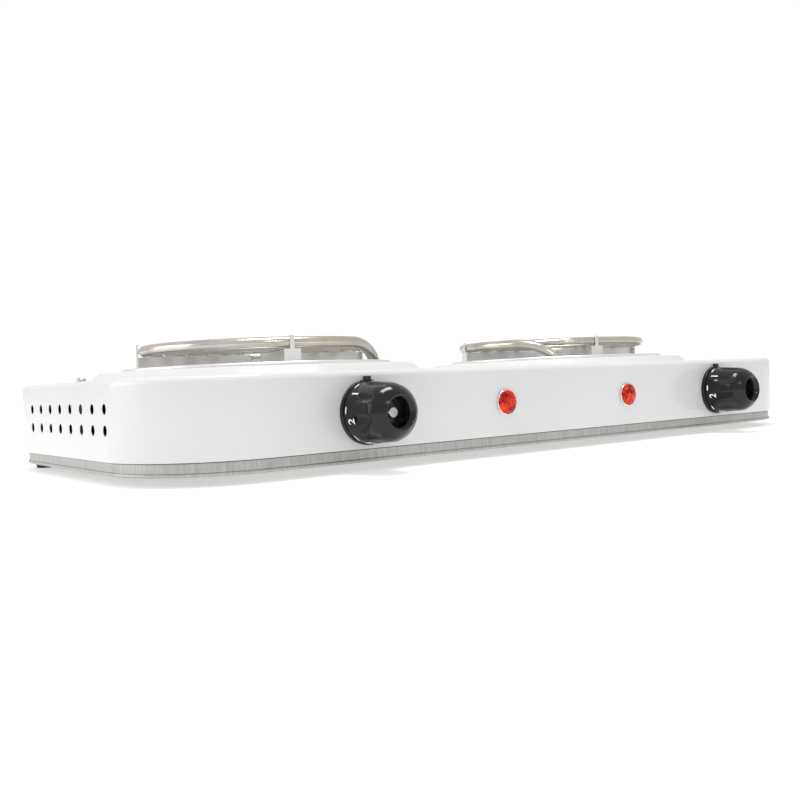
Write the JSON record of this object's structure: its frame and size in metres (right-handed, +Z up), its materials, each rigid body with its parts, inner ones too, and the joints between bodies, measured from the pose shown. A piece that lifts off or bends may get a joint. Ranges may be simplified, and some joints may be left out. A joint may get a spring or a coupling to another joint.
{
  "type": "electric hot plate",
  "caption": "Low white electric hot plate: flat spiral tube elements over round drip bowls, black dial knobs with pilot lamps on the front, vented sides and a tray base.",
  "frame": {"origin": "on the table, under the middle of the appliance's outside box, knobs and cord bushing included", "axes": "+X along the front to the user's right, +Y from the front panel to the back, +Z up"},
  "size_m": [0.5, 0.2634, 0.0693],
  "materials": {
    "white_enamel": "gloss white paint on pressed steel",
    "galvanised_steel": "galvanised sheet, dull with vertical streaks",
    "bowl_metal": "satin pressed metal",
    "element_sheath": "bright sheath with brown heat tints",
    "support_steel": "plain steel strip, darkened by heat",
    "black_bakelite": "glossy black moulding",
    "brown_bakelite": "matt brown moulding",
    "black_rubber": "matt",
    "zinc_screws": "zinc plated",
    "bright_rim": "bright plated",
    "amber_lens": "translucent amber red, faceted",
    "clear_glass": "clear",
    "porcelain": "unglazed ceramic",
    "brass_contacts": "plain brass",
    "wire_sleeve": "woven glass sleeve",
    "earth_sleeve": "green and yellow insulation"
  },
  "bodies": {
    "appliance": {"top_shell": "white_enamel", "base_tray": "galvanised_steel", "rubber_feet": "black_rubber", "foot_screws": "zinc_screws", "corner_pillars": "zinc_screws", "base_screws": "zinc_screws", "top_screws": "zinc_screws", "support_screws": "zinc_screws", "strap_nuts": "zinc_screws", "panel_screws": "zinc_screws", "arm_pivots": "zinc_screws", "lamp_housings": "bright_rim", "neon_bulbs": "clear_glass", "lamp_clips": "zinc_screws", "terminal_block": "porcelain", "terminal_screws": "zinc_screws", "cord_gland": "black_rubber", "earth_stud": "zinc_screws", "supply_wires": "wire_sleeve", "lamp_wires": "wire_sleeve", "earth_wire": "earth_sleeve", "left_drip_bowl": "bowl_metal", "left_element_support": "support_steel", "left_heating_element": "element_sheath", "left_element_pins": "brass_contacts", "left_element_insulators": "porcelain", "left_clamp_strap": "galvanised_steel", "left_knob_bezel": "black_bakelite", "left_regulator_case": "brown_bakelite", "left_regulator_plate": "galvanised_steel", "left_regulator_terminals": "brass_contacts", "left_lamp_lens": "amber_lens", "left_burner_wires": "wire_sleeve", "right_drip_bowl": "bowl_metal", "right_element_support": "support_steel", "right_heating_element": "element_sheath", "right_element_pins": "brass_contacts", "right_element_insulators": "porcelain", "right_clamp_strap": "galvanised_steel", "right_knob_bezel": "black_bakelite", "right_regulator_case": "brown_bakelite", "right_regulator_plate": "galvanised_steel", "right_regulator_terminals": "brass_contacts", "right_lamp_lens": "amber_lens", "right_burner_wires": "wire_sleeve"},
    "left_control": {"left_knob": "black_bakelite", "left_knob_screw": "zinc_screws", "left_regulator_spindle": "brass_contacts", "left_regulator_cam": "brown_bakelite"},
    "left_pusher": {"left_pusher_pin": "porcelain"},
    "left_contact": {"left_contact_arm": "brass_contacts"},
    "right_control": {"right_knob": "black_bakelite", "right_knob_screw": "zinc_screws", "right_regulator_spindle": "brass_contacts", "right_regulator_cam": "brown_bakelite"},
    "right_pusher": {"right_pusher_pin": "porcelain"},
    "right_contact": {"right_contact_arm": "brass_contacts"}
  },
  "joints": [
    {"name": "left_knob_turn", "type": "hinge", "parent": "appliance", "child": "left_control", "pos_m": [-0.143, -0.10435, 0.02845], "axis": [0, 1, 0], "range_deg": [0, 270]},
    {"name": "left_pusher_slide", "type": "slide", "parent": "appliance", "child": "left_pusher", "axis": [-1, 0, 0], "range_m": [0, 0.0015]},
    {"name": "left_contact_swing", "type": "hinge", "parent": "appliance", "child": "left_contact", "pos_m": [-0.1264, -0.09635, 0.03645], "axis": [0, 1, 0], "range_deg": [0, 10.67]},
    {"name": "right_knob_turn", "type": "hinge", "parent": "appliance", "child": "right_control", "pos_m": [0.143, -0.10435, 0.02845], "axis": [0, 1, 0], "range_deg": [0, 270]},
    {"name": "right_pusher_slide", "type": "slide", "parent": "appliance", "child": "right_pusher", "axis": [-1, 0, 0], "range_m": [0, 0.0015]},
    {"name": "right_contact_swing", "type": "hinge", "parent": "appliance", "child": "right_contact", "pos_m": [0.1596, -0.09635, 0.03645], "axis": [0, 1, 0], "range_deg": [0, 10.67]}
  ],
  "couplings": [
    {"joint": "left_pusher_slide", "follows": "left_knob_turn", "m_per_rad": 0.00031831},
    {"joint": "left_contact_swing", "follows": "left_knob_turn", "ratio": 0.039332},
    {"joint": "right_pusher_slide", "follows": "right_knob_turn", "m_per_rad": 0.00031831},
    {"joint": "right_contact_swing", "follows": "right_knob_turn", "ratio": 0.039332}
  ]
}
